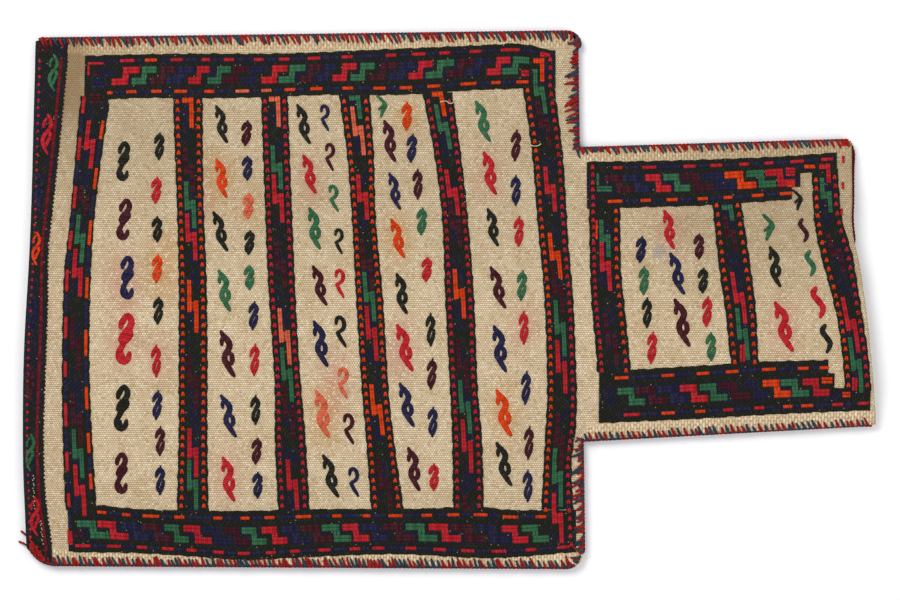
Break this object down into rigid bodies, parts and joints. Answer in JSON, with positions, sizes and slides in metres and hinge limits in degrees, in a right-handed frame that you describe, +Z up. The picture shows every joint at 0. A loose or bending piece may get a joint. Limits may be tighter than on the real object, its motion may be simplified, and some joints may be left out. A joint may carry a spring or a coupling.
{
  "type": "kilim salt bag",
  "caption": "Flat-woven wool bag with a wide pouch, a narrow neck, wrapped pattern bands and overcast sides.",
  "frame": {"origin": "middle of the bag's box, on the surface it lies on", "axes": "+X from the folded bottom to the mouth, +Y across the bag, +Z up out of the patterned front"},
  "size_m": [0.6006, 0.3762, 0.0193],
  "materials": {
    "woven_wool": "undyed cream wool in plain weave, slightly slubby and matt",
    "band_wool": "dark wool wrapped over the warps, in fine slanting stitches",
    "motif_wool": "dyed wool in red, maroon, navy, green, orange and black, wrapped in small raised figures",
    "stitching_wool": "plied dark red and blue-grey wool, sewn over the edges"
  },
  "bodies": {
    "root": {"bag_cloth": "woven_wool", "left_side_stitching": "stitching_wool", "right_side_stitching": "stitching_wool"}
  },
  "joints": []
}
